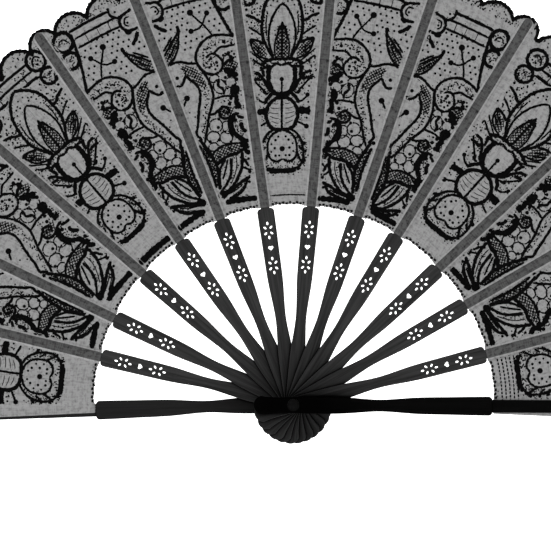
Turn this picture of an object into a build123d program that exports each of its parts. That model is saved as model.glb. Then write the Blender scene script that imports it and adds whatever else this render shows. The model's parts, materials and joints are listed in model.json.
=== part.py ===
"""Folding hand fan: two guards and twelve pierced sticks on one rivet, with a pleated lace leaf.

Everything is drawn flat, x to the right, y up and z towards the holder, with the rivet's axis along z
and the middle of the stack of sticks at z = 0. The finished parts are then stood upright, so that the
fan is in the XZ plane and its front faces -Y.

The fan is modelled open. Sticks are numbered from the rear guard, which lies to the left and at the
back. Each moving piece keeps to a layer of its own along the rivet, so that it turns past the others.
"""

from build123d import *
import os

# ---------------------------------------------------------------- driving dimensions, mm and degrees
rear_guard_angle = 181.9  # where the rear guard points, counterclockwise from +x
# Opening between neighbours, from the rear guard round to the front guard: opened by hand, so uneven.
gap_angles = (15.6, 11.9, 15.4, 14.3, 13.3, 13.3, 13.3, 13.8, 12.6, 15.2, 13.1, 15.3, 15.1)

head_radius = 18.4  # rivet to the butt end of every stick
shoulder_radius = 92.3  # rivet to the end of the wide part
rib_end_radius = 210.0  # rivet to the tip of the thin rib that carries the leaf
leaf_inner_radius = 93.5
leaf_outer_radius = 204.3  # at the foot of the scallops

stick_thickness = 1.1
stick_pitch = 1.35  # from one stick to the next along the rivet
rib_thickness = 0.5
rib_width = 4.1
guard_thickness = 2.4
guard_rib_step = 0.5  # the guard's outer face steps down by this past its shoulder
guard_rib_width = 5.9

cloth_thickness = 0.2
tape_thickness = 0.12
tape_width = 6.0

rivet_radius = 1.5
rivet_clearance = 0.05
rivet_head_radius = 2.1
rivet_head_height = 0.6
washer_radius = 2.9
washer_thickness = 0.3
recess_radius = 3.0  # round pocket in a guard's outer face, which takes the washer and the rivet's head
recess_depth = 1.0

# ---------------------------------------------------------------- derived layout
stick_count = len(gap_angles) - 1
front = stick_count + 1  # the front guard's number; the rear guard's is 0
half_stick = stick_thickness / 2
rib_back = half_stick - rib_thickness  # from the stick's middle plane to the back of its rib
pleat_back = (stick_pitch + half_stick + tape_thickness + rib_back - cloth_thickness - cloth_thickness) / 2
guard_face = front / 2 * stick_pitch - half_stick + guard_thickness  # from z = 0 to a guard's outer face
washer_seat = guard_face - recess_depth

upright = Rot(90, 0, 0)


def level(number):
    """Height of a stick's middle plane along the rivet."""
    return (number - front / 2) * stick_pitch


def angle(number):
    """Where a stick points when the fan is open."""
    return rear_guard_angle - sum(gap_angles[:number])


def save(part, name):
    export_step(upright * part, f"parts/{name}.step")


def slab(face, low, high):
    """A flat piece with this outline, from one height to another."""
    return extrude(Pos(0, 0, low) * face, high - low)


# ---------------------------------------------------------------- sticks and guards
# Half widths of the wide part, by distance from the rivet: butt, rivet, head, waist and blade.
stick_stations = ((-15, 4.1), (0, 3.5), (13, 3.7), (27, 3.4), (40, 2.5), (56, 3.45), (72, 3.78), (90.6, 4.0))
guard_stations = ((-15, 4.2), (0, 3.7), (14, 4.0), (27, 3.6), (39, 2.75), (56, 3.75), (72, 4.1), (90.6, 4.4))
shoulder_corner = 1.7
edge_round = 0.35


def blade_face(stations):
    """The wide part's outline: a round butt, curved sides with a waist, and eased shoulders."""
    r_first, w_first = stations[0]
    r_last, w_last = stations[-1]
    corner = w_last - shoulder_corner
    butt_depth = head_radius + r_first
    butt_radius = (w_first**2 + butt_depth**2) / (2 * butt_depth)
    side = Spline(*stations, tangents=[(w_first, head_radius - butt_radius + r_first), (1, 0)])
    shoulder = ThreePointArc(
        (r_last, w_last),
        (shoulder_radius - 0.3 * shoulder_corner, w_last - 0.3 * shoulder_corner),
        (shoulder_radius, corner),
    )
    butt = ThreePointArc((r_first, -w_first), (-head_radius, 0), (r_first, w_first))
    end = Line((shoulder_radius, corner), (shoulder_radius, -corner))
    return make_face([side, shoulder, end, mirror(shoulder, Plane.XZ), mirror(side, Plane.XZ), butt])


def rib_face(width):
    """The long thin rib, rounded at its tip, which starts inside the wide part."""
    start = shoulder_radius - 4
    length = rib_end_radius - start
    body = Pos(start + (length - width / 2) / 2, 0) * Rectangle(length - width / 2, width)
    return body + Pos(rib_end_radius - width / 2, 0) * Circle(width / 2)


petal_half_length = 0.76
petal_half_width = 0.45


def petal(r, offset, turn):
    return Pos(r, offset) * Rot(0, 0, turn) * Ellipse(petal_half_length, petal_half_width)


def flower_cuts(r):
    """Six slots round a point of the blade: two along it, and four beside them."""
    cuts = [petal(r + 3.3, 0, 0), petal(r - 3.3, 0, 0)]
    for sx in (-1, 1):
        for sy in (-1, 1):
            cuts.append(petal(r + 1.35 * sx, 1.4 * sy, 48 * sx * sy))
    return cuts


def heart_cut(r):
    """A small heart between the two flowers, its point towards the rivet."""
    lobe = Pos(r + 0.35, 0.56) * Circle(0.62)
    point = make_face(Polyline((r - 1.1, 0), (r - 0.05, 1.03), (r + 0.35, 0), (r - 0.05, -1.03), (r - 1.1, 0)))
    return point + lobe + mirror(lobe, Plane.XZ)


flower_radii = (65.4, 81.9)
heart_radius = 73.6
rivet_hole = Circle(rivet_radius + rivet_clearance)


def make_stick():
    """One stick lying along +x, its middle plane at z = 0."""
    blade = slab(blade_face(stick_stations), -half_stick, half_stick)
    blade = fillet(blade.edges().group_by(Axis.Z)[-1] + blade.edges().group_by(Axis.Z)[0], edge_round)
    rib = slab(rib_face(rib_width), rib_back, half_stick)
    cuts = rivet_hole + heart_cut(heart_radius)
    for r in flower_radii:
        for cut in flower_cuts(r):
            cuts = cuts + cut
    return blade + rib - slab(cuts, -2, 2)


def make_guard():
    """A guard lying along +x, outer face up. z = 0 is the middle plane that a stick would have."""
    outer = guard_thickness - half_stick
    blade = slab(blade_face(guard_stations), -half_stick, outer)
    blade = fillet(blade.edges().group_by(Axis.Z)[-1], 2 * edge_round)
    rib = slab(rib_face(guard_rib_width), rib_back, outer - guard_rib_step)
    rib = chamfer(rib.edges().group_by(Axis.Z)[-1], 0.3)
    return blade + rib - slab(rivet_hole, -5, 5) - slab(Circle(recess_radius), outer - recess_depth, 5)


# ---------------------------------------------------------------- leaf
scallop_radius = 8.9
scallop_centre_radius = 202.0
scallop_shares = (0.32, 0.68)  # two in each gap, at these shares of the way from rib to rib
tip_scallop_radius = 6.8  # and a smaller one round the tip of each rib
tip_scallop_centre_radius = 204.5
front_overhang = 2.2  # degrees that the leaf reaches past the front guard's middle line
rear_overhang = 0.7


def polar(r, turn):
    return Vector(r, 0).rotate(Axis.Z, turn)


def wedge(low, high):
    """Everything between two rays from the rivet."""
    reach = 2 * leaf_outer_radius
    middle = (low + high) / 2
    return make_face(Polyline((0, 0), polar(reach, low), polar(reach, middle), polar(reach, high), (0, 0)))


def leaf_face(low, high, scallops):
    """The leaf between two rays, with its scalloped edge. scallops holds (angle, centre, radius)."""
    whole = Circle(leaf_outer_radius)
    for turn, centre, radius in scallops:
        whole = whole + Pos(*polar(centre, turn)) * Circle(radius)
    return (whole - Circle(leaf_inner_radius)) & wedge(low, high)


def gap_scallops(gap, start, direction):
    """The scallops over one gap, which starts at an angle and runs one way round."""
    return [
        (start + direction * share * gap, scallop_centre_radius, scallop_radius)
        for share in scallop_shares
    ]


def make_panel(number):
    """The cloth glued behind one rib: a quarter of the gap on each side of it."""
    scallops = [(0, tip_scallop_centre_radius, tip_scallop_radius)]
    high, low = rear_overhang, -front_overhang
    if number > 0:
        gap = gap_angles[number - 1]
        high = gap / 4
        scallops += gap_scallops(gap, 0, 1)
    if number < front:
        gap = gap_angles[number]
        low = -gap / 4
        scallops += gap_scallops(gap, 0, -1)
    return slab(leaf_face(low, high, scallops), rib_back - cloth_thickness, rib_back)


def make_pleat(number):
    """The free cloth between two glued panels, half of the gap wide, which folds in between them."""
    gap = gap_angles[number - 1]
    face = leaf_face(-gap / 4, gap / 4, gap_scallops(gap, -gap / 2, 1))
    return slab(face, pleat_back, pleat_back + cloth_thickness)


def make_tape():
    """A strip of cloth stuck over the front of a rib."""
    length = rib_end_radius - leaf_inner_radius - 1
    face = Pos(leaf_inner_radius + length / 2, 0) * RectangleRounded(length, tape_width, 1.5)
    return slab(face, half_stick, half_stick + tape_thickness)


# ---------------------------------------------------------------- rivet
def make_rivet():
    """The pin through the whole stack, with a low domed head at each end."""
    shank_end = washer_seat + washer_thickness
    dome_radius = (rivet_head_radius**2 + rivet_head_height**2) / (2 * rivet_head_height)
    ball = Pos(0, 0, shank_end + rivet_head_height - dome_radius) * Sphere(dome_radius)
    head = ball & slab(Circle(rivet_head_radius), shank_end, shank_end + rivet_head_height)
    shank = slab(Circle(rivet_radius), -shank_end, shank_end)
    return shank + head + mirror(head, Plane.XY)


def make_washer():
    return slab(Circle(washer_radius) - rivet_hole, washer_seat, washer_seat + washer_thickness)


# ---------------------------------------------------------------- put together and written
os.makedirs("parts", exist_ok=True)

stick = make_stick()
tape = make_tape()
for number in range(1, front):
    place = Pos(0, 0, level(number)) * Rot(0, 0, angle(number))
    save(place * stick, f"stick_{number:02d}")
    save(place * tape, f"rib_tape_{number:02d}")

guard = make_guard()
save(Pos(0, 0, level(front)) * Rot(0, 0, angle(front)) * guard, "front_guard")
save(Pos(0, 0, level(0)) * Rot(0, 0, angle(0)) * mirror(guard, Plane.XY), "rear_guard")

for number in range(front + 1):
    place = Pos(0, 0, level(number)) * Rot(0, 0, angle(number))
    panel = make_panel(number)
    if number == 0:  # the rear guard's rib is behind the leaf
        panel = Pos(0, 0, cloth_thickness - 2 * rib_back) * panel
    save(place * panel, f"leaf_panel_{number:02d}")

for number in range(1, front + 1):
    middle = (angle(number - 1) + angle(number)) / 2
    place = Pos(0, 0, level(number - 1)) * Rot(0, 0, middle)
    save(place * make_pleat(number), f"leaf_pleat_{number:02d}")

save(make_rivet(), "rivet_pin")
save(make_washer(), "rivet_washer_front")
save(mirror(make_washer(), Plane.XY), "rivet_washer_rear")
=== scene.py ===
import json
import math
import random
from collections import namedtuple

import bpy
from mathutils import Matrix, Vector

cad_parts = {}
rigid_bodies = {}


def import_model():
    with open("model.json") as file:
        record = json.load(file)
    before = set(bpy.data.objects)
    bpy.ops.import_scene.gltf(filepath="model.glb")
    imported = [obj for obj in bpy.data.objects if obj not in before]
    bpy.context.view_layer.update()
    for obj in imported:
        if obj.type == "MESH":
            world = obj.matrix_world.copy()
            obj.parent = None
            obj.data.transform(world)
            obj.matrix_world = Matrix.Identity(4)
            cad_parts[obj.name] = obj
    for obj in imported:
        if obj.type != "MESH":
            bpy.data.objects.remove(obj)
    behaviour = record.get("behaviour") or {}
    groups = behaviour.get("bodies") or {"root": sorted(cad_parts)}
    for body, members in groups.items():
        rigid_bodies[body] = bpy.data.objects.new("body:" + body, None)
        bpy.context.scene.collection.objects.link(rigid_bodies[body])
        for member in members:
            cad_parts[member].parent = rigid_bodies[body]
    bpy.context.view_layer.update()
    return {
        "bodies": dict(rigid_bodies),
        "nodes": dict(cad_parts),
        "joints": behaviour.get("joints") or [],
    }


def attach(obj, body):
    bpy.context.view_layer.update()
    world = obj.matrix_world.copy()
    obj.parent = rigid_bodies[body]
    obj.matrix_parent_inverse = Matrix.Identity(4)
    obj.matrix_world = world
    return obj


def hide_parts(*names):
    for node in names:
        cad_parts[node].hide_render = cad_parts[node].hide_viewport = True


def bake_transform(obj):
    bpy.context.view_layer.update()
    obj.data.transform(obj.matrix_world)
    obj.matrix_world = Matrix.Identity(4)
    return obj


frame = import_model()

MM = 0.001

# ---------------------------------------------------------------- layout, in mm and degrees, as in the CAD
FRONT = sum(name.startswith("leaf_pleat") for name in frame["bodies"])  # the front guard's number
REAR_ANGLE = 181.9  # where the rear guard points, counterclockwise from +X
PITCH = 1.35  # from one stick to the next along the rivet
RIB_HALF = 2.05
TAPE_HALF = 3.0
LEAF_INNER = 93.3  # rivet to the leaf's inner edge
SCALLOP_FOOT = 204.3
# Scallops of one gap: share of the way from rib to rib, radius of the centre, radius of the arc.
SCALLOPS = ((0.0, 204.5, 6.8), (1.0, 204.5, 6.8), (0.32, 202.0, 8.9), (0.68, 202.0, 8.9))
INNER_DIP = 0.6  # how much further in the cloth and the strips reach over each rib
DIP_HALF = 4.6  # half the width of that dip
FRAY_DEPTH = 0.7
FIRST_EDGE, LAST_EDGE = 0.7, 2.2  # degrees of cloth past the rear and the front guard


def body_name(k):
    """The body of stick k, where the rear guard is stick 0."""
    return "rear_guard" if k == 0 else "front_guard" if k == FRONT else f"stick_{k:02d}"


turns = {joint["child"]: joint["range_deg"][1] for joint in frame["joints"]}
GAPS = tuple(round(turns[f"leaf_pleat_{n:02d}"] + turns[body_name(n)], 1) for n in range(1, FRONT + 1))


def stick_angle(k):
    """Where stick k points, counterclockwise from +X."""
    return REAR_ANGLE - sum(GAPS[:k])


def level(k):
    """Distance of a stick's middle plane from the origin, towards the viewer."""
    return (k - FRONT / 2) * PITCH


def overhang(n, side):
    """Degrees of cloth past a guard's middle line."""
    if side == "a" and n == 1:
        return FIRST_EDGE
    if side == "b" and n == FRONT:
        return LAST_EDGE
    return 0.0


def arc(degrees, r):
    """Length of an arc about the rivet."""
    return math.radians(degrees) * r


def point(r, angle, z):
    """Row frame position of a point at this radius, angle and distance towards the viewer."""
    a = math.radians(angle)
    return (r * math.cos(a) * MM, -z * MM, r * math.sin(a) * MM)


def clamp(x):
    return min(1.0, max(0.0, x))


def smooth(x):
    x = clamp(x)
    return x * x * (3 - 2 * x)


# ---------------------------------------------------------------- the cloth's surface
CLOTH_HALF = 0.05  # half the cloth's thickness
RAMP_START, RAMP_END = 3.15, 3.95  # mm from a rib's middle line, where the cloth leaves the rib's back
STIFF_HALF = 3.6  # mm from a rib's middle line, where the cloth starts to follow the fold
# Heights above the stick before the gap: on the rear guard's rib, behind a rib, beside a tape, at the
# middle of the gap, and just before the next rib.
ON_GUARD, BACK_OF_RIB, PAST_TAPE, PLEAT, BEFORE_NEXT = 0.05, -0.05, 0.80, 0.935, 1.15
COLUMNS, ROWS = 30, 44  # faces across and along half a gap


def cloth_z(n, s, r):
    """Height of gap n's cloth above level(n - 1). s runs from 0 at rib n - 1 to 1 at rib n."""
    gap = GAPS[n - 1]
    if s <= 0.5:
        beside = arc(s * gap, r)
        rib = ON_GUARD if n == 1 else BACK_OF_RIB
        free = PAST_TAPE
    else:
        beside = arc((1 - s) * gap, r)
        rib = PITCH + BACK_OF_RIB
        free = BEFORE_NEXT
    z = free + (PLEAT - free) * clamp((beside - RAMP_END) / (arc(gap / 2, r) - RAMP_END))
    return rib + (z - rib) * smooth((beside - RAMP_START) / (RAMP_END - RAMP_START))


def fold_weight(n, side, s, r):
    """How far a point follows the second of the two bodies that its piece joins."""
    gap = GAPS[n - 1]
    quarter = gap / 4
    share = s if side == "a" else 1 - s
    still = max(quarter / 2, math.degrees(STIFF_HALF / r))
    t = clamp((share * gap - still) / (2 * quarter - 2 * still))
    return t if side == "a" else 1 - t


def rim(s, gap):
    """Radius of the scalloped outer edge. s is the share of the gap from rib to rib."""
    best = SCALLOP_FOOT
    for at, centre, radius in SCALLOPS:
        x = arc((s - at) * gap, centre)
        if abs(x) < radius:
            best = max(best, centre + math.sqrt(radius * radius - x * x))
    return best


def inner_edge(n, s):
    """Radius of the inner edge, which dips over each rib and is a little frayed."""
    gap = GAPS[n - 1]
    beside = min(abs(s), abs(1 - s)) * math.radians(gap) * LEAF_INNER
    fray = 0.25 * math.sin(s * gap * 9.1 + n) + 0.15 * math.sin(s * gap * 23.7)
    return LEAF_INNER - INNER_DIP * math.exp(-((beside / DIP_HALF) ** 6)) + fray * FRAY_DEPTH


# ---------------------------------------------------------------- mesh building
def new_piece(name, verts, faces, uv, *materials):
    """A smooth mesh object with one UV layer, in mm as if the cloth were flat."""
    mesh = bpy.data.meshes.new(name)
    mesh.from_pydata(verts, [], faces)
    layer = mesh.uv_layers.new(name="flat")
    for loop in mesh.loops:
        layer.data[loop.index].uv = uv[loop.vertex_index]
    mesh.polygons.foreach_set("use_smooth", [True] * len(mesh.polygons))
    for m in materials:
        mesh.materials.append(m)
    obj = bpy.data.objects.new(name, mesh)
    bpy.context.scene.collection.objects.link(obj)
    return obj


class Build:
    """Vertices and faces of one piece of the leaf."""

    def __init__(self, n, side):
        self.n = n
        self.side = side
        self.verts = []
        self.faces = []
        self.weights = []
        self.uv = []

    def add(self, s, r, lift):
        """Adds a point of gap n at this share and radius, and at a height above the cloth's middle."""
        n = self.n
        angle = stick_angle(n - 1) - s * GAPS[n - 1]
        self.verts.append(point(r, angle, level(n - 1) + cloth_z(n, min(max(s, 0), 1), r) + lift))
        self.weights.append(fold_weight(n, self.side, s, r))
        self.uv.append((arc(s * GAPS[n - 1], r), r))
        return len(self.verts) - 1

    def piece(self, name, material):
        """The finished piece, with its placement baked into its mesh."""
        obj = new_piece(name, self.verts, self.faces, self.uv, material)
        first, second = body_name(self.n - 1), f"leaf_pleat_{self.n:02d}"
        if self.side == "b":
            first, second = second, body_name(self.n)
        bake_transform(obj)
        return obj


def wall(p, q):
    """The face between two pairs of points at the cloth's edge. Each pair is (front, back)."""
    return [p[0], p[1], q[1], q[0]]


def ground(n, side):
    """The cloth of half a gap, from a rib's middle line to the middle of the gap."""
    gap = GAPS[n - 1]
    if side == "a":
        low, high = -overhang(n, side) / gap, 0.5
    else:
        low, high = 0.5, 1 + overhang(n, side) / gap
    b = Build(n, side)
    grid = []
    for i in range(COLUMNS + 1):
        s = low + (high - low) * i / COLUMNS
        top = rim(s, gap)
        bottom = inner_edge(n, s)
        for j in range(ROWS + 1):
            r = bottom + (top - bottom) * j / ROWS
            grid.append((b.add(s, r, CLOTH_HALF), b.add(s, r, -CLOTH_HALF)))

    def at(i, j):
        return grid[i * (ROWS + 1) + j]

    for i in range(COLUMNS):
        for j in range(ROWS):
            corners = (at(i, j), at(i + 1, j), at(i + 1, j + 1), at(i, j + 1))
            b.faces.append([v[0] for v in corners])
            b.faces.append([v[1] for v in reversed(corners)])
        b.faces.append(wall(at(i, 0), at(i + 1, 0)))
        b.faces.append(wall(at(i + 1, ROWS), at(i, ROWS)))
    for j in range(ROWS):
        b.faces.append(wall(at(0, j + 1), at(0, j)))
        b.faces.append(wall(at(COLUMNS, j), at(COLUMNS, j + 1)))
    return b


# ---------------------------------------------------------------- lace motifs
NOMINAL_A = 14.0  # the gap that motif A is drawn for
NOMINAL_B = 12.9  # the gap that half of motif B is drawn for
# Motif A leans from the middle of its gap, by a share of the gap that grows from LEAN_TOP towards the rivet.
A_LEAN, LEAN_TOP, LEAN_LENGTH = -0.075, 190, 70
# The lace isn't mounted evenly: in some gaps its pattern lies nearer the rivet, by LACE_DROP mm outside the
# hem, or to one side, by LACE_SHIFT of the gap.
LACE_DROP = {8: 3.7, 9: 5.2, 10: 3.7, 11: 2.6, 12: 3.6, 13: 3.7}
LACE_SHIFT = {1: 0.09, 8: -0.03, 10: 0.09, 13: 0.03}
DROP_START, DROP_LENGTH = 95, 10

# Each cord is (width, points), in mm: x across from the motif's axis, y along it from the rivet.
# Motif A fills one gap and is its own mirror image. Only its right half is listed.
A_CORDS = (
    (1.5, ((0, 195.6), (3, 194.0), (6, 190.9), (8.4, 187), (9.6, 182), (10, 176.5), (9.5, 171.5),
           (7.8, 167.5), (5.6, 164), (4.2, 161.5))),
    (1.1, ((0, 187), (2, 185.4), (4.2, 182), (5.8, 178), (6.6, 173.5), (6.4, 169), (5.4, 165.5),
           (4.2, 162))),
    (0.8, ((0, 178.5), (1.0, 175.5), (2.6, 172), (3.5, 168.5), (3.6, 165), (3.1, 161.5))),
    (1.1, ((0, 178.2), (0, 173), (0, 167), (0, 161.5))),
    (1.4, ((10.1, 178.8), (12, 179.2), (14.5, 180.8), (18.2, 182))),
    (1.0, ((10.2, 172.3), (13, 174.3), (16.6, 176.2))),
    (1.3, ((9.0, 168.3), (12, 169.9), (15.8, 170.6))),
    (1.0, ((15.8, 170.6), (14.8, 167), (13, 164), (9.8, 162), (7, 161.4))),
    (0.8, ((7.5, 159), (11, 161.4), (14, 163.6), (16.4, 165.6))),
    (1.0, ((8, 157.6), (12, 159.6), (16, 162.2), (16.2, 160.4))),
    (1.6, ((0, 161.0), (4, 161.2), (7.5, 160.4), (10.5, 158.6))),
    (1.3, ((0, 158.2), (3, 159.0), (5.4, 157.4), (7.4, 157.6), (10.2, 156.6))),
    (1.5, ((10.5, 157.8), (9.4, 155.8), (8.6, 153))),
    (2.0, ((6.0, 158), (6.6, 154.5), (6.3, 150.5), (5.2, 147.5), (3.4, 145.2), (0, 144.4))),
    (1.5, ((14.8, 155), (11.5, 154.4), (9.0, 151.8), (7, 148.2), (5.2, 146))),
    (1.4, ((15.2, 151.6), (12.5, 152), (9.8, 151.4))),
    (0.9, ((0, 151), (0, 148), (0, 144.6))),
    (1.7, ((0, 143.4), (3.6, 142.4), (6.4, 139.8), (7.7, 136), (7.2, 132.2), (4.8, 129), (0, 127.9))),
    (1.1, ((0, 143.5), (0, 136), (0, 128))),
    (1.7, ((4.6, 145.4), (6.8, 143.2), (8.3, 140.4))),
    (1.0, ((7.4, 141), (10.3, 141.6), (12.6, 143.8))),
    (2.7, ((7.4, 136.9), (10, 136.8), (13.2, 136.4))),
    (1.0, ((6.8, 132.2), (9.3, 130.8), (11.8, 129.6))),
    (1.2, ((4.0, 128.6), (7.2, 126.2), (9.2, 123), (10.2, 119.4), (10.2, 115.4), (9, 112), (6.4, 110.1),
           (3, 109.6), (0, 109.8))),
    (1.1, ((1.6, 127.6), (4.6, 126.2), (6.6, 123.4), (7.2, 120), (6.9, 116.6), (5.2, 114.2), (2.6, 113.4),
           (0, 114.6))),
    (1.0, ((8.4, 124.6), (9.6, 122.6), (11.6, 120.6))),
    (1.0, ((8.2, 120.6), (9, 119), (10.6, 117.6))),
    (1.2, ((7.0, 117.4), (8.4, 114.2), (10.2, 111.8))),
    (2.0, ((0, 109), (2.4, 108.9), (6.4, 109.2))),
    (1.0, ((15.4, 153.6), (13.2, 151.2), (10.6, 148.4), (7.6, 145.4))),
    (1.2, ((9.4, 146.2), (8, 145.2), (6.4, 145.4))),
    (0.7, ((7.6, 181.6), (8, 177), (7.6, 172))),
    (0.8, ((1.2, 176.8), (2.2, 173.6), (2.5, 169.6))),
    (0.7, ((9.4, 165.8), (12.4, 167.2), (14.6, 169))),
    (0.7, ((9.2, 163.4), (11.8, 165), (14.2, 167.4))),
    (0.8, ((12.6, 193.6), (14.2, 192.2), (15.6, 190.2))),
    (0.7, ((14.4, 195.6), (16.2, 194.2), (18.2, 193.8))),
    (0.9, ((16.6, 186.2), (18.6, 187.6), (19.6, 189.8))),
    (0.35, ((1.6, 131.2), (3, 131.4), (5.2, 132.4))),
    (0.35, ((1.6, 133.4), (3.4, 133.6), (6, 134.6))),
    (0.35, ((1.6, 135.8), (3.6, 135.8), (6.2, 136.4))),
    (0.35, ((1.6, 138.2), (3.4, 138.1), (5.6, 138.6))),
    (0.35, ((1.6, 140.4), (2.8, 140.2), (4, 140.6))),
)
A_DOTS = (
    (0, 151.7, 1.1), (0, 119.3, 1.35), (3.2, 123.4, 0.65), (3.6, 119.7, 0.65), (3.4, 116.2, 0.65),
    (12.6, 144, 1.1), (12, 129.3, 1.25), (14.8, 169.9, 1.3), (3.2, 189.3, 0.45), (5.8, 186.2, 0.45),
    (7.4, 182.4, 0.45), (8.1, 178, 0.45), (1.4, 191, 0.45), (11.2, 190.2, 0.5), (12.6, 187.2, 0.5),
    (13.8, 184.6, 0.5), (11, 184.8, 0.5), (16.4, 187.6, 0.5), (10.4, 147, 0.45), (13.4, 148, 0.5),
    (12.2, 133.2, 0.5), (13, 140.6, 0.5), (10.8, 121.4, 0.9), (11.2, 117.6, 0.8), (10.6, 113.4, 0.9),
    (7.4, 109.8, 1.0), (13.6, 176.8, 0.5), (14.8, 173.2, 0.5), (12.4, 181.8, 0.5), (15.2, 178.4, 0.5),
    (17.4, 178.8, 0.5), (17.8, 173.2, 0.5), (12.2, 193.8, 0.6), (17.8, 191, 0.6), (14.6, 188, 0.6),
    (15, 182.8, 0.6), (17.8, 184.4, 0.7), (2.6, 188, 0.5), (4.6, 188.4, 0.5), (14.4, 157.6, 0.5),
    (13.4, 159.4, 0.5), (11.6, 165.4, 0.5), (13, 145.8, 0.4), (11.2, 144.8, 0.4), (1.8, 125, 0.55),
    (1.6, 116.2, 0.55), (5.2, 121.6, 0.5), (5.4, 118, 0.5), (16.6, 197.8, 0.6), (18.6, 198, 0.5),
    (16, 202.2, 0.5), (13.2, 135, 0.6), (13.4, 138.2, 0.6),
)
# Hatched patches: each is a polygon that fine crossed threads fill.
A_HATCH = (
    ((0, 178), (2.4, 172.5), (3.4, 168), (3.2, 161.8), (0, 161.5)),
    ((9.2, 167.8), (12.2, 169.3), (15.4, 170.2), (14.4, 167), (12.6, 164.2), (9.6, 162.2), (7.2, 161.8),
     (7.6, 165)),
)

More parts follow.
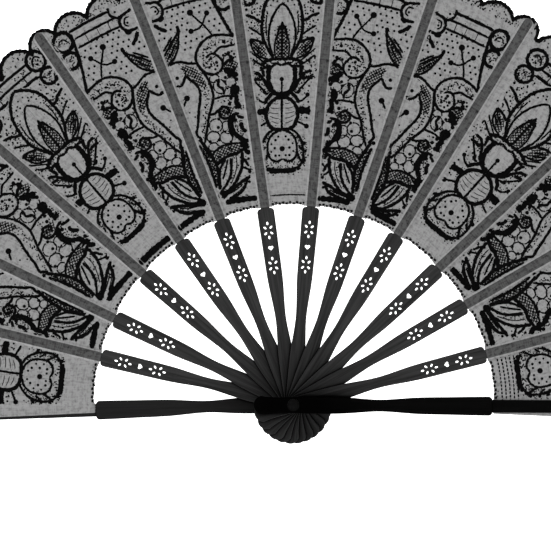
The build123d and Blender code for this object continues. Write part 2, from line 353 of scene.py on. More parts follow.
# Motif B is a mirror image about a stick and fills the gap on each side of it. The half to the right is
# listed.
B_CORDS = (
    (1.4, ((3.1, 190.4), (5.6, 190), (8.4, 190.6), (10, 193.2), (9.9, 196), (8.2, 198), (5.8, 198.6),
           (3.2, 199.6))),
    (1.3, ((8.2, 198), (10, 197.6), (12.6, 199.6), (13.2, 202), (12.6, 203.6))),
    (2.0, ((7.0, 189.4), (8.8, 190.2))),
    (1.8, ((4.0, 188.4), (5.4, 186.2), (8.4, 183.4))),
    (1.1, ((13.6, 184.2), (13.2, 181.6), (9.6, 178.6), (5.6, 175.2), (3.2, 172.8))),
    (1.1, ((13.2, 181.4), (10.9, 175.6), (8.4, 171.8), (5.4, 169.4), (3.2, 169))),
    (1.6, ((13.6, 184.2), (13.2, 181.6), (12.2, 179.4))),
    (0.9, ((26.8, 174.4), (25.8, 177.6), (24.6, 180.6), (22.8, 184), (21.2, 187.4))),
    (0.9, ((24.6, 180.6), (26.2, 182.6), (28, 184.6))),
    (0.9, ((24.6, 180.6), (22.4, 179.4), (19, 179.3))),
    (1.3, ((36.2, 169.6), (34, 171.4), (30.4, 173), (26.8, 173.9), (23.4, 173.5), (19.9, 171.8),
           (17, 168.8),
           (15.8, 165.2), (16.6, 161.4), (18.4, 158.4), (21.2, 156.8), (23.8, 156.9))),
    (1.2, ((23.8, 156.9), (25.6, 158.2), (26.8, 161), (25.9, 163.9), (24.4, 165.9), (22.4, 166.2),
           (20.6, 165.2))),
    (1.1, ((24.6, 166), (27.8, 167.6), (31, 167), (35.6, 166.2))),
    (1.2, ((25.8, 158), (28, 156.2), (31.5, 155.8))),
    (2.2, ((26.6, 157.6), (28.2, 155.2), (31, 152.6))),
    (1.2, ((3.2, 168), (6, 168.4), (9, 167.8), (12, 166), (15.5, 164.4))),
    (1.2, ((15.5, 164.4), (17, 159.4), (18, 154), (17.5, 148.4), (16.2, 145.2), (14, 142), (12, 139.3),
           (9.8, 135.2),
           (7.8, 131.4), (5.9, 128.4))),
    (1.3, ((3.1, 158.2), (5.2, 157.2), (7.2, 158.7), (8.9, 160.7), (10.3, 158.4), (12, 155.4), (12.4, 152),
           (11.3, 148.4), (9.2, 144.4), (7.3, 140.4), (5.6, 136.6), (4.0, 133.6), (5.4, 130))),
    (0.6, ((8.9, 161), (9.6, 163.4), (8, 165))),
    (1.0, ((5.7, 150.8), (4.4, 149.4), (3.1, 147.8))),
    (1.1, ((17, 146), (20, 145.9), (23.4, 145.2), (26.5, 143.6))),
    (1.2, ((12.4, 139.8), (15, 139.7), (17.4, 140.6), (20, 141.2))),
    (1.3, ((17.4, 140.4), (16.8, 138), (18, 136), (20.4, 135.6), (22.8, 136), (25.4, 135.8))),
    (2.0, ((27.8, 149), (26, 146.4), (27, 143.4), (25.8, 140.4), (27, 138.2))),
    (2.6, ((28.6, 147.6), (27.4, 145.4))),
    (2.0, ((22.6, 135.6), (20.6, 133.2), (19.8, 130), (20.6, 126.6), (22.4, 123.6), (21.2, 120.6))),
    (1.4, ((24, 135), (26, 133.4), (28.4, 132.8))),
    (1.8, ((24.6, 131.6), (24.2, 129), (25.4, 126.4))),
    (1.1, ((6.7, 121.6), (9.5, 123.4), (13.5, 124.2), (17.5, 123.6), (21.5, 122.4))),
    (1.7, ((7.2, 116.8), (10.6, 118.3), (14.4, 119), (18, 118.6), (21.4, 119.6))),
    (1.6, ((4.3, 131), (5.4, 127), (6.8, 121.6), (7.2, 116.2), (6.3, 111), (4.8, 105.6))),
    (1.0, ((3.3, 128), (3.9, 122), (4.1, 116), (3.5, 108))),
    (1.2, ((5, 109.4), (7, 113), (9.5, 116), (12, 118))),
    (0.9, ((7.6, 109.6), (10.2, 113.2), (13, 117.6))),
    (1.3, ((4.5, 104.4), (8.5, 107), (12, 111), (14.4, 117.6))),
    (1.5, ((4.6, 102.8), (10, 104.6), (15, 108.6), (18, 112.6), (20.2, 118.4))),
    (1.6, ((4.4, 102), (10, 103.6), (15, 105.4), (19.6, 106.4))),
    (1.4, ((7, 99.8), (12, 100.6), (15.6, 102.6), (18.6, 106.8))),
    (1.0, ((18, 112), (20, 109.8), (21.4, 109.6))),
    (3.0, ((4.4, 102.6), (6.2, 103.6))),
    (2.3, ((5.4, 99.0), (10, 98.2), (15, 97.0), (19, 95.8))),
    (2.0, ((23.4, 121.6), (22, 118.8), (23.2, 116.6))),
    (1.5, ((26.6, 159), (29, 160.4), (31.8, 160))),
    (1.0, ((29, 164.4), (30.6, 162.6), (31.4, 160.4))),
    (2.4, ((27, 157), (28.6, 154.4), (29.8, 152.6))),
    (1.3, ((22.4, 153.8), (21.2, 151.2), (22.6, 148.6), (22, 146.4))),
    (1.4, ((18.6, 141.6), (20.6, 140.8), (21.6, 138.8), (20.2, 137.2))),
    (1.2, ((20.8, 136), (19.2, 132.8), (18.6, 129.6), (19, 126.2))),
    (1.3, ((3.3, 128.6), (3.9, 122), (4.1, 116), (3.5, 107))),
    (0.5, ((15.2, 117.6), (13.6, 113.6), (11, 109.8), (8.4, 106.8))),
    (0.5, ((17, 117.4), (15.8, 113.4), (13.2, 109.4), (10.2, 106.2))),
    (0.5, ((8.6, 115.4), (7.4, 112.2), (5.6, 108.6))),
    (0.6, ((7.4, 102.2), (11.6, 102.9), (15.2, 104.2))),
    (0.5, ((9, 100.9), (13, 102), (16, 103.8))),
    (1.2, ((18.4, 116.6), (20, 114.6), (20.4, 111.6))),
    (1.0, ((3.6, 175.2), (6.2, 177.4), (9.6, 180.2))),
    (0.9, ((4.2, 171.2), (7, 173.2), (9.4, 176.4))),
    (0.8, ((5.2, 196.4), (7.4, 196.2), (8.2, 193.6), (6.6, 192.2))),
)
B_DOTS = (
    (21.2, 187.7, 1.6), (28.2, 184.8, 1.35), (18.6, 179.4, 1.35), (5.8, 150.9, 1.5), (5, 161.3, 0.9),
    (6.8, 194, 0.6), (10.4, 200.8, 0.6), (21.6, 161.6, 0.6), (24, 160, 0.6), (19.8, 163, 0.5),
    (24.2, 152.2, 0.7), (29.4, 152.4, 0.7), (24.6, 148.4, 0.5), (19, 139, 0.7), (32.4, 164, 0.5),
    (30.8, 161.6, 0.7), (21.8, 114.4, 0.7), (20.6, 111.6, 0.6), (26.5, 169.6, 0.6), (22.6, 169.2, 0.6),
    (22.4, 164.2, 0.8), (24.2, 161.6, 0.8), (20.4, 160.6, 0.7), (22.6, 158.8, 0.6), (30.4, 169.4, 0.7),
    (33.6, 167.6, 0.6), (19.8, 166.8, 0.6), (30.8, 163.8, 0.9), (33, 162.4, 0.6), (28.2, 163.6, 0.7),
    (27.2, 154, 0.9), (25.4, 153.6, 0.8), (29.8, 151, 1.0), (22.2, 156.4, 0.6), (24.4, 143.6, 0.9),
    (22.8, 141.4, 0.9), (25.2, 138.8, 1.0), (22.6, 133.4, 1.0), (24.2, 122.6, 1.0), (21.4, 125.2, 1.0),
    (20.2, 108.6, 0.9), (18.4, 104.2, 0.7), (6.2, 141.4, 0.4), (4.6, 144.2, 0.4), (14.2, 133, 0.8),
    (15.8, 136.6, 0.8), (8.4, 128.2, 0.8), (12.6, 127.4, 0.8), (7.8, 131.8, 0.7), (17.2, 124.6, 0.7),
    (3.2, 131, 1.0),
)
B_HATCH = (
    ((13, 181.5), (9.6, 178.4), (5.6, 175), (3.2, 172.6), (3.2, 169.2), (5.4, 169.6), (8.4, 172),
     (10.9, 175.8)),
    ((7, 117.4), (10.6, 118.6), (14.4, 119.4), (18, 119), (21, 120), (20.8, 122.2), (17.5, 123.4),
     (13.5, 124), (9.5, 123.2), (7, 121.8)),
    ((16.4, 140.2), (17.4, 136.4), (22.8, 136.4), (24.8, 139.6), (20, 141)),
    ((3.4, 127), (5.2, 126), (6.6, 121.6), (7.0, 116.2), (6.1, 111), (4.8, 106), (3.6, 108), (4.1, 116),
     (3.9, 122)),
    ((9, 161.4), (12, 157), (13, 153), (16.6, 153), (16.2, 158), (14.4, 163), (10.6, 166), (7.6, 165.6)),
    ((28, 157), (31.4, 155.4), (33.6, 158), (31.6, 160.4), (28.4, 160.6)),
)
# Lines that specks are scattered along: (points, spread, specks at each sample).
A_SHADE = (
    (((8.2, 186), (8.6, 180), (8.6, 174), (7.4, 168.4)), 0.7, 1),
    (((1, 176), (2, 170), (2, 164)), 0.9, 2),
    (((8.4, 164), (11.4, 166), (14.4, 169)), 1.0, 2),
    (((7.4, 146.4), (9.6, 150), (12.2, 152.6), (14.6, 154.4)), 0.9, 2),
    (((2, 159.6), (6, 159.4), (10, 157.6)), 0.8, 2),
    (((5.8, 126.2), (8.4, 122.6), (9.2, 117.6), (8.4, 113.2), (5, 111.4), (1.4, 111.8)), 0.8, 2),
    (((10.6, 124.4), (11.6, 119.6), (11.4, 114.4), (9.4, 110.4), (6, 108.4)), 0.8, 1),
    (((9.4, 142.6), (9.8, 139.6), (9.8, 134.4), (8.6, 130.6)), 0.9, 1),
    (((12.4, 160.4), (15.8, 158), (16, 151)), 1.0, 1),
    (((12.4, 186), (13, 178), (12.6, 172)), 2.2, 2),
    (((4, 199.4), (10, 199)), 1.0, 2),
    (((16.0, 190.4), (18.4, 190.4)), 1.3, 5),
    (((15.6, 199.6), (18.4, 199.6)), 1.5, 4),
)
B_SHADE = (
    (((9.6, 163.4), (12.6, 161), (14.6, 157), (15.1, 152), (14, 147), (11.8, 142), (9.2, 137),
      (6.8, 132.4)), 0.7, 2),
    (((34.8, 167.6), (31, 170), (27, 171), (23.6, 170.2), (20.8, 167.6), (18.6, 163.6), (20.2, 160.2)),
     0.8, 2),
    (((24, 164.4), (21.6, 163.6), (21.8, 160.4)), 0.9, 2),
    (((27.4, 158), (29, 155.4), (30.6, 153)), 1.1, 3),
    (((19, 143.4), (22, 143), (24.6, 141)), 1.0, 1),
    (((18.6, 138.6), (21, 137.4)), 0.7, 3),
    (((28.4, 148.6), (27.4, 145), (27, 141), (27.4, 137.6)), 1.0, 3),
    (((23.2, 133.8), (21.6, 129.6), (22.8, 125), (23.4, 120)), 1.1, 3),
    (((9, 120.4), (14, 121.6), (20.4, 121)), 1.0, 2),
    (((4.9, 127.4), (5.4, 120), (5.2, 113), (4.3, 106.6)), 0.5, 2),
    (((16.6, 116.6), (14, 111.4), (10, 106.8)), 0.8, 1),
    (((10, 102.4), (14, 103.2), (17.6, 105.2)), 0.7, 1),
    (((6, 98.8), (10, 98), (15.6, 97)), 0.8, 2),
    (((20.4, 116.6), (21.4, 112.4), (20.2, 107)), 1.1, 1),
    (((4.8, 171.4), (8.4, 174.8), (11.4, 179)), 0.7, 2),
    (((35.8, 187.2), (38.4, 187.2)), 1.3, 5),
    (((35.8, 196.5), (38.6, 196.5)), 1.5, 4),
)
# Cords that follow the rim at a constant distance from the rivet: (width, radius, first angle, last angle).
A_ARCS = ((1.3, 201.8, -3.8, 3.8), (1.1, 197.6, -3.8, 3.8), (1.0, 194.2, 1.9, 3.7),
          (1.0, 194.2, -3.7, -1.9))
B_ARCS = ((1.4, 202.6, 3.6, 9.4), (1.1, 198.5, 3.0, 9.2), (1.2, 194.0, 3.1, 9.4))


def circle(cx, cy, rx, ry, count=20):
    """A closed round of points."""
    turns = [i * math.tau / count for i in range(count + 1)]
    return [(cx + rx * math.cos(a), cy + ry * math.sin(a)) for a in turns]


# Cords that are worked last, at the motifs' outer corners: rings beside each rib, and what joins them.
A_CORNER = (
    (1.7, circle(17.0, 199.6, 4.4, 4.6)),
    (0.9, ((14.2, 198), (15.6, 200.6), (18, 201.4), (19.4, 199.4))),
    (1.5, circle(17.2, 190.4, 3.8, 3.9)),
    (0.6, ((7.4, 197), (7.5, 194.2))),
    (1.1, ((4.6, 194.4), (7, 193.4), (10, 193.6), (13.2, 193))),
)
B_OUTLINE = (
    (34.4, 200.4), (32.9, 196), (32.8, 191.5), (32.9, 187.6), (33.4, 183.6), (34.2, 178), (35.2, 172),
    (36.6, 168.4),
)
B_CORNER = (
    (1.5, B_OUTLINE),
    (1.8, circle(37.2, 196.5, 4.4, 4.6)),
    (0.7, ((35.0, 195.6), (36.6, 197.6), (38.6, 197.4), (39.8, 195.2))),
    (1.7, circle(37.0, 187.2, 3.8, 3.9)),
)
# Bars across motif B's brick band, which lies between two radii: their angles.
B_BARS, B_BAR_ENDS = (4.4, 6.0, 7.7), (198.3, 194)
# Motif B's open net of rounded cells: x and y of the centre, and half the width and height.
B_CELLS = (
    (13.6, 134.2, 3.0, 3.1), (18, 131.6, 2.2, 3.0), (10.6, 129.6, 2.9, 2.7), (16, 127.4, 2.9, 2.9),
    (9, 125.3, 2.2, 1.9), (21.6, 150.6, 2.8, 3.4), (20.6, 155, 2.2, 1.9), (27, 150.6, 2.4, 2.4),
    (29.6, 160.6, 2.4, 2.6), (32.4, 158.6, 2.2, 2.4),
)
Motif = namedtuple("Motif", "cords dots hatches shades arcs corner mirrors")
MOTIF_A = Motif(A_CORDS, A_DOTS, A_HATCH, A_SHADE, A_ARCS, A_CORNER, (1, -1))
MOTIF_B = Motif(B_CORDS, B_DOTS, B_HATCH, B_SHADE, B_ARCS, B_CORNER, (1,))


# ---------------------------------------------------------------- curves and fillings
def spline(points, step=0.75):
    """A smooth curve through the points, as evenly spaced samples."""
    if len(points) == 2:
        points = (points[0], tuple((p + q) / 2 for p, q in zip(*points)), points[1])
    p = [Vector(q) for q in points]
    p = [2 * p[0] - p[1]] + p + [2 * p[-1] - p[-2]]
    out = []
    for a, b, c, d in zip(p, p[1:], p[2:], p[3:]):
        count = max(2, round((c - b).length / step))
        for j in range(count):
            t = j / count
            straight = 2 * b + (c - a) * t
            bent = (2 * a - 5 * b + 4 * c - d) * t * t
            out.append(0.5 * (straight + bent + (3 * b - a - 3 * c + d) * t ** 3))
    out.append(p[-2])
    return [(q.x, q.y) for q in out]


def inside(polygon, x, y):
    """Whether a point lies inside a polygon."""
    hit = False
    for (x0, y0), (x1, y1) in zip(polygon, polygon[1:] + polygon[:1]):
        if (y0 > y) != (y1 > y) and x < x0 + (y - y0) * (x1 - x0) / (y1 - y0):
            hit = not hit
    return hit


HATCH_PITCH = 1.15  # between the threads of a hatched patch
HATCH_STEP = 0.35  # how finely a thread is followed to the patch's edge
SPECK_RADIUS = (0.2, 0.42)  # least and most


def hatching(polygon):
    """Fine crossed threads that fill a polygon."""
    lines = []
    xs, ys = [p[0] for p in polygon], [p[1] for p in polygon]
    reach = (max(ys) - min(ys)) + (max(xs) - min(xs))
    for slant, foot in ((1, min(ys)), (-1, max(ys))):
        offset = -reach
        while offset < reach:
            run = []
            t = 0.0
            while t <= reach:
                x = min(xs) + t
                y = foot + slant * t + offset
                if inside(polygon, x, y):
                    run.append((x, y))
                else:
                    if len(run) > 2:
                        lines.append(run)
                    run = []
                t += HATCH_STEP
            offset += HATCH_PITCH * 1.414
    return lines


def stipple(line, spread, each):
    """Specks scattered along a line, most of them near it. each is how many there are at every sample."""
    out = []
    for x, y in line:
        for _ in range(each):
            out.append((random.gauss(x, spread), random.gauss(y, spread), random.uniform(*SPECK_RADIUS)))
    return out


# ---------------------------------------------------------------- the lace over one gap
HATCH_WIDTH, BAR_WIDTH, CELL_WIDTH = 0.45, 0.6, 0.65
CELL_ARCS = 5  # each cell of the net is worked in this many arcs, with a knot where each starts
DOT_RADIUS, DOT_ACROSS, DOT_ALONG = 0.58, 2.7, 2.8  # motif B's ground of dots, and their spacing
DOTS_LOW, DOTS_HIGH, DOTS_NEAR, DOTS_FAR = 172.4, 193, 2.2, 34  # where that ground lies
DOT_CLEARANCE = 1.9  # between a dot and the nearest cord's middle
CORDS_LOW = 166  # cords nearer the rivet than this are out of the dots' reach
SCROLL_TOP, SCROLL_LEFT = 175, 16.5  # the corner where the scroll takes the dots' place
CELL_STEP, CELL_KNOT = 0.6, 0.4  # sampling of a cell's outline, and radius of its knots
HEM_RADIUS, HEM_WAVE, HEM_SAMPLES = 94.0, 0.25, 54
STITCH = 4  # samples in each short stitch of a hem
THICK_HEM, THIN_HEM = 4, 7  # the gaps whose hems have a thick and a thin cord besides
THICK_RADIUS, THIN_RADIUS = 97.0, 97.8
LAST_ROWS, LAST_ROW_PITCH, LAST_SAMPLES = 5, 1.9, 60  # rows of stitches beside the front guard
RIM_IN = 0.6  # how far inside the rim its cord's middle lies
RIM_SAMPLES = 110
SCALLOP_SPECKS = 120  # small knots in the scallops of one gap
SCALLOP_LOW, SCALLOP_MARGIN = 203.6, 1.2  # where they start, and how far inside the rim they end


class Lace:
    """The cords over gap n, as (width, [(s, r), ...]), and its knots, as (s, r, radius)."""

    def __init__(self, n):
        self.n = n
        self.kind = n % 3  # 1: motif A. 0 and 2: the right and the left half of motif B.
        self.motif = MOTIF_A if self.kind == 1 else MOTIF_B
        self.cords = []
        self.knots = []
        self.work_motif()
        if self.kind != 1:
            self.brick_bars()
            self.dotted_ground()
            self.open_net()
        self.hem()
        self.edge()

    def place(self, x, y, mirror=1):
        """Where a point of the motif lies in the gap: its share of the way across, and its radius."""
        phi, r = math.degrees(math.atan2(x, y)), math.hypot(x, y)
        if self.kind == 1:
            s = 0.5 + mirror * phi / NOMINAL_A
        elif self.kind == 0:
            s = phi / NOMINAL_B
        else:
            s = 1 - phi / NOMINAL_B
        s += LACE_SHIFT.get(self.n, 0.0)
        if self.kind == 1:
            s += A_LEAN * clamp((LEAN_TOP - r) / LEAN_LENGTH)
        return s, r - LACE_DROP.get(self.n, 0.0) * clamp((r - DROP_START) / DROP_LENGTH)

    def put(self, width, points, mirrors=(1,)):
        """Works a cord along the points, once for each mirror image."""
        for mirror in mirrors:
            self.cords.append((width, [self.place(x, y, mirror) for x, y in points]))

    def knot(self, x, y, radius, mirrors=(1,)):
        """Works a knot at a point, once for each mirror image."""
        for mirror in mirrors:
            self.knots.append((*self.place(x, y, mirror), radius))

    def work_motif(self):
        """What the motif's tables list."""
        motif = self.motif
        for width, points in motif.cords:
            centred = all(x == 0 for x, _ in points)
            self.put(width, spline(points), (1,) if centred else motif.mirrors)
        for polygon in motif.hatches:
            for line in hatching(polygon):
                self.put(HATCH_WIDTH, line, motif.mirrors)
        random.seed(40 + self.n)
        dots = list(motif.dots)
        for points, spread, each in motif.shades:
            dots += stipple(spline(points), spread, each)
        for x, y, radius in dots:
            self.knot(x, y, radius, motif.mirrors if x else (1,))
        for width, r, low, high in motif.arcs:
            turns = [math.radians(low + (high - low) * i / 14) for i in range(15)]
            self.put(width, [(r * math.sin(a), r * math.cos(a)) for a in turns])
        for width, points in motif.corner:
            self.put(width, spline(points), motif.mirrors)

    def brick_bars(self):
        """Motif B's bars across its brick band."""
        for phi in B_BARS:
            a = math.radians(phi)
            self.put(BAR_WIDTH, [(r * math.sin(a), r * math.cos(a)) for r in B_BAR_ENDS])

    def dotted_ground(self):
        """Motif B's staggered rows of dots, which stay clear of its cords."""
        cords = [q for _, points in B_CORDS for q in spline(points) if q[1] > CORDS_LOW] + spline(B_OUTLINE)
        y = DOTS_LOW
        row = 0
        while y < DOTS_HIGH:
            x = DOTS_NEAR + (DOT_ACROSS / 2 if row % 2 else 0)
            while x < DOTS_FAR:
                clear = min(math.hypot(x - p, y - q) for p, q in cords) > DOT_CLEARANCE
                in_scroll = y < SCROLL_TOP and x > SCROLL_LEFT
                if clear and not in_scroll:
                    self.knot(x, y, DOT_RADIUS)
                x += DOT_ACROSS
            y += DOT_ALONG
            row += 1

    def open_net(self):
        """Motif B's net of rounded cells."""
        for cell in B_CELLS:
            ring = spline(circle(*cell, 10), CELL_STEP)
            cut = len(ring) // CELL_ARCS
            for start in range(0, len(ring) - cut + 1, cut):
                self.put(CELL_WIDTH, ring[start:start + cut])
                self.knot(*ring[start], CELL_KNOT)

    def hem(self):
        """Cords along the inner edge, right across the gap. The last gap has five rows of short stitches."""
        if self.n == THICK_HEM:
            self.cords.append((2.5, [(i / 40, THICK_RADIUS) for i in range(41)]))
        if self.n == THIN_HEM:
            self.cords.append((0.7, [(0.1 + i / 50, THIN_RADIUS) for i in range(41)]))
        if self.n == FRONT:
            for row in range(LAST_ROWS):
                r = THICK_RADIUS + row * LAST_ROW_PITCH
                for i in range(row % 2, LAST_SAMPLES, STITCH):
                    self.cords.append((0.7, [((i + j) / LAST_SAMPLES, r) for j in range(STITCH)]))
        for i in range(0, HEM_SAMPLES, STITCH):
            r = HEM_RADIUS + HEM_WAVE * math.sin(i * 2.3)
            self.cords.append((1.1, [((i + j) / HEM_SAMPLES, r) for j in range(STITCH)]))

    def edge(self):
        """The cord along the rim, and the specks in the scallops."""
        gap = GAPS[self.n - 1]
        shares = [i / RIM_SAMPLES for i in range(RIM_SAMPLES + 1)]
        self.cords.append((1.6, [(s, rim(s, gap) - RIM_IN) for s in shares]))
        for _ in range(SCALLOP_SPECKS):
            s = random.random()
            r = random.uniform(SCALLOP_LOW, rim(s, gap) - SCALLOP_MARGIN)
            self.knots.append((s, r, random.uniform(0.2, 0.45)))


# ---------------------------------------------------------------- lace as meshes
BOLD = 1.24  # how much wider the cords are worked than they are listed
CORD_HALF = 0.13  # half a cord's thickness, through the cloth
BLUNT = 0.6  # width of a cord's end, as a share of its own
UNEVEN = (0.78, 1.28)  # least and most that its width varies by
DOME, SHOULDER = 1.15, 0.6  # height of a knot's middle and edge, as shares of CORD_HALF
FUZZY = 0.75  # cords at least this wide have stray stitches beside them
KNOBBY = 1.9  # cords at least this wide are worked with knots
PLAIN_RIM = 200  # cords further out than this have neither
STITCH_INNER = LEAF_INNER + 0.9  # no stray stitch lies nearer the rivet
PAST_RIBS = 208.0  # from here out, cords cross the ribs' ends
# A cord's cross-section: shares of half its width and of half its thickness.
SECTION = ((-1, 0), (-0.62, 0.85), (0, 1), (0.62, 0.85), (1, 0), (0.62, -0.85), (0, -1), (-0.62, -0.85))


def from_rib(n, s, r):
    """Distance along the cloth to the middle line of the nearer rib."""
    return min(s, 1 - s) * math.radians(GAPS[n - 1]) * r


def clipped(run, n, side):
    """The stretches of a cord that lie in this half of the gap, clear of the strips over the ribs."""
    whole = []
    for p, q in zip(run, run[1:]):
        whole.append(p)
        if (p[0] - 0.5) * (q[0] - 0.5) < 0:
            t = (0.5 - p[0]) / (q[0] - p[0])
            whole.append((0.5, p[1] + (q[1] - p[1]) * t))
    whole.append(run[-1])
    out, now = [], []
    for s, r in whole:
        mine = s <= 0.5 if side == "a" else s >= 0.5
        if mine and (r > PAST_RIBS or from_rib(n, s, r) > TAPE_HALF - 0.1):
            now.append((s, r))
        elif now:
            out.append(now)
            now = []
    out.append(now)
    return [part for part in out if len(part) > 1]


def cord(b, run, width):
    """A flat cord that shows on both faces of the cloth, with rounded shoulders and blunt ends."""
    gap = math.radians(GAPS[b.n - 1])
    last = len(run) - 1
    rings = []
    for i, (s, r) in enumerate(run):
        s0, r0 = run[max(i - 1, 0)]
        s1, r1 = run[min(i + 1, last)]
        dx, dy = (s1 - s0) * gap * r, r1 - r0
        size = math.hypot(dx, dy) or 1.0
        nx, ny = -dy / size, dx / size
        end = BLUNT if i in (0, last) and abs(s - 0.5) > 0.001 else 1.0
        left, right = [width / 2 * end * random.uniform(*UNEVEN) for _ in range(2)]
        ring = []
        for across, lift in SECTION:
            w = left if across < 0 else right
            ring.append(b.add(s + across * w * nx / (gap * r), r + across * w * ny, lift * CORD_HALF))
        rings.append(ring)
    for p, q in zip(rings, rings[1:]):
        for i in range(len(SECTION)):
            j = (i + 1) % len(SECTION)
            b.faces.append([p[i], p[j], q[j], q[i]])
    b.faces.append(rings[0][::-1])
    b.faces.append(rings[-1])


def dot(b, s, r, radius, count=8):
    """A small round knot, domed on both faces of the cloth."""
    gap = math.radians(GAPS[b.n - 1])
    top = b.add(s, r, CORD_HALF * DOME)
    low = b.add(s, r, -CORD_HALF * DOME)
    rings = []
    for i in range(count):
        a = i * math.tau / count
        at = (s + radius * math.cos(a) / (gap * r), r + radius * math.sin(a))
        rings.append((b.add(*at, CORD_HALF * SHOULDER), b.add(*at, -CORD_HALF * SHOULDER)))
    for p, q in zip(rings, rings[1:] + rings[:1]):
        b.faces.append([top, p[0], q[0]])
        b.faces.append([low, q[1], p[1]])
        b.faces.append([p[0], p[1], q[1], q[0]])


def fuzz(b, run, width):
    """Stray stitches beside a cord, and knots along a wide one."""
    gap = math.radians(GAPS[b.n - 1])
    if width < FUZZY:
        return
    for s, r in run[1:-1]:
        if r > PLAIN_RIM:
            continue
        if random.random() < 0.5:
            reach = random.choice((-1, 1)) * (width * BOLD / 2 + random.uniform(0.0, 0.7))
            turn = random.uniform(0, math.tau)
            at_s, at_r = s + reach * math.cos(turn) / (gap * r), r + reach * math.sin(turn)
            mine = (at_s < 0.5) == (b.side == "a")
            if mine and from_rib(b.n, at_s, r) > TAPE_HALF and at_r > STITCH_INNER:
                dot(b, at_s, at_r, random.uniform(0.18, 0.34), 5)
        if width >= KNOBBY:
            dot(b, s, r, width * random.uniform(0.45, 0.75))


# ---------------------------------------------------------------- materials
def grey(v):
    return (v, v, v)


class Look:
    """A material, and short ways to add nodes to it."""

    def __init__(self, name):
        self.material = bpy.data.materials.new(name)
        self.material.use_nodes = True
        self.nodes = self.material.node_tree.nodes
        self.links = self.material.node_tree.links
        self.shader = self.nodes["Principled BSDF"]

    def fill(self, node, inputs):
        """Sets inputs to values, or links them to other nodes' outputs."""
        for name, value in inputs.items():
            if isinstance(value, bpy.types.NodeSocket):
                self.links.new(value, node.inputs[name])
            else:
                node.inputs[name].default_value = value

    def node(self, kind, inputs):
        node = self.nodes.new(kind)
        self.fill(node, inputs)
        return node

    def place(self):
        """The object's own coordinates, in metres."""
        return self.nodes.new("ShaderNodeTexCoord").outputs["Object"]

    def mapping(self, vector, inputs):
        return self.node("ShaderNodeMapping", {"Vector": vector, **inputs}).outputs["Vector"]

    def noise(self, vector, scale, detail, **more):
        inputs = {"Vector": vector, "Scale": scale, "Detail": detail, **more}
        return self.node("ShaderNodeTexNoise", inputs).outputs["Fac"]

    def maths(self, operation, *values):
        node = self.nodes.new("ShaderNodeMath")
        node.operation = operation
        self.fill(node, dict(enumerate(values)))
        return node.outputs["Value"]

    def spread(self, value, inputs):
        return self.node("ShaderNodeMapRange", {"Value": value, **inputs}).outputs["Result"]

    def ramp(self, factor, low, high, stops=(0.3, 0.7)):
        node = self.node("ShaderNodeValToRGB", {"Fac": factor})
        first, second = node.color_ramp.elements
        first.position, second.position = stops
        first.color = (*low, 1)
        second.color = (*high, 1)
        return node.outputs["Color"]

    def bump(self, height, strength, distance):
        inputs = {"Height": height, "Strength": strength, "Distance": distance}
        self.fill(self.shader, {"Normal": self.node("ShaderNodeBump", inputs).outputs["Normal"]})


def cloth_material(name, low, high, contrast=1.0):
    """Plain weave seen as fine streaks both ways, where threads run thick and thin, over a soft mottle."""
    look = Look(name)
    uv = look.nodes.new("ShaderNodeUVMap")
    uv.uv_map = "flat"
    flat = uv.outputs["UV"]
    warp = look.noise(look.mapping(flat, {"Scale": (0.16, 1.25, 1)}), 1.0, 4.0)
    weft = look.noise(look.mapping(flat, {"Scale": (1.25, 0.16, 1)}), 1.0, 4.0)
    weave = look.maths("ADD", warp, weft)
    mottle = look.noise(flat, 0.5, 4.0, Roughness=0.7)
    both = look.maths("MULTIPLY_ADD", weave, 0.45, mottle)
    stops = (0.95 - 0.22 * contrast, 0.95 + 0.22 / contrast)
    look.fill(look.shader, {
        "Base Color": look.ramp(both, low, high, stops),
        "Roughness": 0.9,
        "Specular IOR Level": 0.15,
        "Sheen Weight": 0.05,
    })
    look.bump(weave, 0.5, 0.00008)
    return look.material


def cord_material(name):
    """Black twisted thread."""
    look = Look(name)
    twist = look.noise(look.place(), 2600, 2.0)
    look.fill(look.shader, {
        "Base Color": look.ramp(twist, grey(0.0006), grey(0.003)),
        "Roughness": 0.8,
        "Specular IOR Level": 0.02,
    })
    look.bump(twist, 0.4, 0.00008)
    return look.material


def wood_material(name, angle, low, high, spec, seed=0.0, head_shade=0.3):
    """Stained wood whose grain runs along a stick that points at this angle.

    It has painted shade towards the rivet, down to the share of its colour that the last argument gives,
    and painted shade in the gaps between the sticks, from an ambient occlusion node.
    """
    look = Look(name)
    place = look.place()
    offset = (seed, seed * 0.7, seed * 1.3)
    turned = look.mapping(place, {"Rotation": (0, math.radians(angle), 0), "Location": offset})
    along = look.mapping(turned, {"Scale": (28, 900, 900)})
    grain = look.noise(along, 1.0, 5.0, Roughness=0.6, Distortion=0.25)
    radius = look.nodes.new("ShaderNodeVectorMath")
    radius.operation = "LENGTH"
    look.fill(radius, {0: place})
    # Painted shade: the wood darkens towards the rivet, where the sticks' heads lie in shade.
    painted_head_shade = look.spread(radius.outputs["Value"], {"From Min": 0.016, "From Max": 0.050, "To Min": head_shade})
    # Painted shade: an ambient occlusion node darkens the wood in the gaps between the sticks.
    crevice = look.node("ShaderNodeAmbientOcclusion", {"Distance": 0.005})
    crevice.samples = 8
    painted_crevice_shade = look.spread(crevice.outputs["AO"], {"From Min": 0.55, "From Max": 0.97, "To Min": 0.0})
    # The painted shades dim both the wood's colour and its specular.
    painted_shade_tone = look.maths("MULTIPLY", painted_head_shade, painted_crevice_shade)
    shade = look.nodes.new("ShaderNodeVectorMath")
    shade.operation = "SCALE"
    look.fill(shade, {0: look.ramp(grain, low, high, (0.32, 0.72)), "Scale": painted_shade_tone})
    look.fill(look.shader, {
        "Base Color": shade.outputs["Vector"],
        "Roughness": look.spread(grain, {"To Min": 0.42, "To Max": 0.6}),
        "Specular IOR Level": look.maths("MULTIPLY", painted_shade_tone, spec),
    })
    look.bump(grain, 0.25, 0.00005)
    return look.material


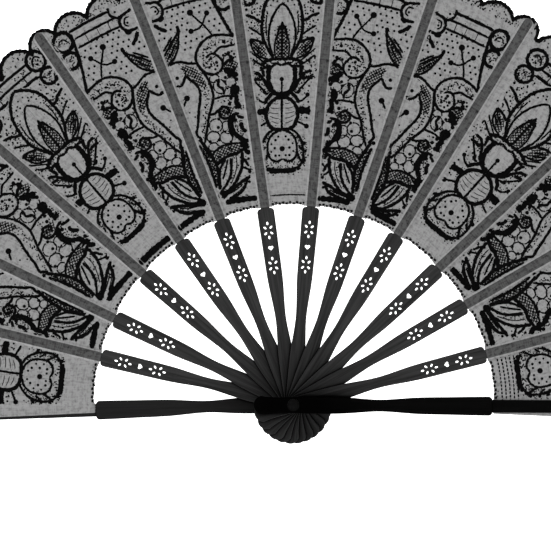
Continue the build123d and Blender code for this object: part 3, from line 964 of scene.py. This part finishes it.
def metal_material(name):
    """Worn black metal."""
    look = Look(name)
    wear = look.noise(look.place(), 900, 3.0)
    look.fill(look.shader, {
        "Base Color": look.ramp(wear, grey(0.0006), grey(0.003)),
        "Roughness": 0.4,
        "Specular IOR Level": 0.04,
    })
    return look.material


cloth = cloth_material("leaf_cloth", grey(0.10), grey(0.245), 1.3)
tape_light = cloth_material("tape_flange", grey(0.17), grey(0.30))
tape_dark = cloth_material("tape_over_rib", grey(0.007), grey(0.068), 1.1)
cords_black = cord_material("lace_cord")


# ---------------------------------------------------------------- sticks and rivet keep their CAD shapes
def dress(node, m):
    """Gives a CAD part its material."""
    mesh = frame["nodes"][node].data
    mesh.materials.clear()
    mesh.materials.append(m)


def stick_wood(k):
    name, angle = f"stick_wood_{k:02d}", stick_angle(k)
    return wood_material(name, angle, grey(0.001), grey(0.026), spec=0.2, seed=k * 0.31, head_shade=0.7)


front_wood = wood_material("front_guard_wood", stick_angle(FRONT), grey(0.0004), grey(0.0016), spec=0.02)
rear_wood = wood_material("rear_guard_wood", stick_angle(0), grey(0.003), grey(0.009), spec=0.1, head_shade=0.5)
rivet_metal = metal_material("rivet_black")
for k in range(1, FRONT):
    dress(body_name(k), stick_wood(k))
dress("front_guard", front_wood)
dress("rear_guard", rear_wood)
for node in ("rivet_pin", "rivet_washer_front", "rivet_washer_rear"):
    dress(node, rivet_metal)

# ---------------------------------------------------------------- strips over the ribs
# Half of a strip's profile, from its middle out: distance from the rib's middle line, and height.
HALF_PROFILE = ((1.0, 0.63), (RIB_HALF - 0.05, 0.60), (RIB_HALF + 0.12, 0.30), (2.5, 0.10), (TAPE_HALF, 0.03))
TAPE_PROFILE = tuple((-x, z) for x, z in reversed(HALF_PROFILE)) + ((0, 0.64),) + HALF_PROFILE
TAPE_THICK = 0.05
TAPE_END = 210.6
TAPE_ROWS = 90
TAPE_TIP = 2.2  # length of the strip's rounded end


def rib_tape(k):
    """A strip pressed over a rib: flat on its front, and down to the leaf on each side."""
    first = LEAF_INNER - INNER_DIP
    across = len(TAPE_PROFILE)
    verts, faces, uv, slots = [], [], [], []
    angle = math.radians(stick_angle(k))
    ux, uz = math.cos(angle), math.sin(angle)
    random.seed(100 + k)
    for j in range(TAPE_ROWS + 1):
        r = first + (TAPE_END - first) * j / TAPE_ROWS
        end = clamp((TAPE_END - r) / TAPE_TIP)
        narrow = max(math.sqrt(1 - (1 - end) ** 2), 0.12)
        wobble = 0.12 * math.sin(r * 0.9 + k) + random.uniform(-0.05, 0.05)
        for side in (1, -1):
            for i, (x, z) in enumerate(TAPE_PROFILE):
                edge = wobble if i in (0, across - 1) else 0.0
                x = (x + math.copysign(edge, x)) * narrow
                y = level(k) + z + side * TAPE_THICK / 2
                verts.append(((r * ux + x * uz) * MM, -y * MM, (r * uz - x * ux) * MM))
                uv.append((x, r))

    def at(j, side, i):
        return (j * 2 + side) * across + i

    def add(corners, slot=0):
        faces.append(corners)
        slots.append(slot)

    for j in range(TAPE_ROWS):
        for i in range(across - 1):
            dark = int(2 <= i < across - 3)
            add([at(j, 0, i), at(j, 0, i + 1), at(j + 1, 0, i + 1), at(j + 1, 0, i)], dark)
            add([at(j, 1, i), at(j + 1, 1, i), at(j + 1, 1, i + 1), at(j, 1, i + 1)], dark)
        for i, turn in ((0, 1), (across - 1, -1)):
            add([at(j, 0, i), at(j + 1, 0, i), at(j + 1, 1, i), at(j, 1, i)][::turn])
    for j, turn in ((0, 1), (TAPE_ROWS, -1)):
        for i in range(across - 1):
            add([at(j, 0, i), at(j, 1, i), at(j, 1, i + 1), at(j, 0, i + 1)][::turn])
    obj = new_piece(f"tape_{k:02d}", verts, faces, uv, tape_light, tape_dark)
    obj.data.polygons.foreach_set("material_index", slots)
    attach(obj, body_name(k))
    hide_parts(f"rib_tape_{k:02d}")
    return obj


tapes = {k: rib_tape(k) for k in range(1, FRONT)}


# ---------------------------------------------------------------- leaf
def half_lace(n, side, lace):
    """The cords and knots on one half of a gap."""
    b = Build(n, side)
    random.seed(n * 10 + (side == "b"))
    for width, run in lace.cords:
        for part in clipped(run, n, side):
            cord(b, part, width * BOLD)
            fuzz(b, part, width)
    for s, r, radius in lace.knots:
        mine = s <= 0.5 if side == "a" else s > 0.5
        if mine and from_rib(n, s, r) > TAPE_HALF + radius * 0.4:
            dot(b, s, r, radius * 0.95 + 0.05)
    return b.piece(f"lace_{n:02d}_{side}", cords_black)


def half_leaf(n, side, lace):
    """The cloth of one half of a gap, with what is on it."""
    base = ground(n, side).piece(f"leaf_{n:02d}_{side}", cloth)
    on_it = [half_lace(n, side, lace)]
    if side == "a" and n > 1:
        on_it.append(tapes[n - 1])
    rib = n - 1 if side == "a" else n
    pleat = [f"leaf_pleat_{n:02d}"] if side == "a" else []
    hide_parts(*pleat, f"leaf_panel_{rib:02d}")


for n in range(1, FRONT + 1):
    lace = Lace(n)
    for side in "ab":
        half_leaf(n, side, lace)


# ---------------------------------------------------------------- stage, light and camera
def plane(name, size, place, turn, glow):
    """A large white sheet of the set, which glows so that it stays pale."""
    h = size / 2
    mesh = bpy.data.meshes.new(name)
    mesh.from_pydata([(-h, -h, 0), (h, -h, 0), (h, h, 0), (-h, h, 0)], [], [(0, 1, 2, 3)])
    look = Look(name)
    look.fill(look.shader, {
        "Base Color": (*grey(0.9), 1),
        "Roughness": 0.9,
        "Emission Color": (*grey(1), 1),
        "Emission Strength": glow,
    })
    mesh.materials.append(look.material)
    obj = bpy.data.objects.new(name, mesh)
    obj.location = place
    obj.rotation_euler = turn
    bpy.context.scene.collection.objects.link(obj)


def area_light(name, place, size, watts):
    """A square light that faces the middle of the fan."""
    light = bpy.data.lights.new(name, "AREA")
    light.size = size
    light.energy = watts
    obj = bpy.data.objects.new(name, light)
    obj.location = place
    obj.rotation_euler = (Vector((0, 0, 0.08)) - Vector(place)).to_track_quat("-Z", "Y").to_euler()
    bpy.context.scene.collection.objects.link(obj)


UPRIGHT = (math.pi / 2, 0, 0)
plane("floor", 24, (0, 0, -0.3), (0, 0, 0), 0.5)
plane("backdrop", 24, (0, 4.5, 0), UPRIGHT, 1.0)
area_light("key", (-0.9, -1.5, 1.3), 0.9, 9)
area_light("fill", (1.1, -1.4, 0.7), 1.1, 4)

world = bpy.data.worlds.new("studio")
world.use_nodes = True
sky = world.node_tree.nodes["Background"]
sky.inputs["Color"].default_value = (1, 1, 1, 1)
sky.inputs["Strength"].default_value = 0.66
bpy.context.scene.world = world
bpy.context.scene.view_settings.view_transform = "Standard"

CAMERA_DISTANCE = 1.7
VIEW_WIDTH = 0.2568  # what the picture's width spans at the fan, in metres
camera = bpy.data.cameras.new("camera")
camera.sensor_width = 36
camera.lens = camera.sensor_width * CAMERA_DISTANCE / VIEW_WIDTH
camera.clip_start, camera.clip_end = 0.05, 40
view = bpy.data.objects.new("camera", camera)
view.location = (-0.0082, -CAMERA_DISTANCE, 0.0601)
view.rotation_euler = UPRIGHT
bpy.context.scene.collection.objects.link(view)
bpy.context.scene.camera = view
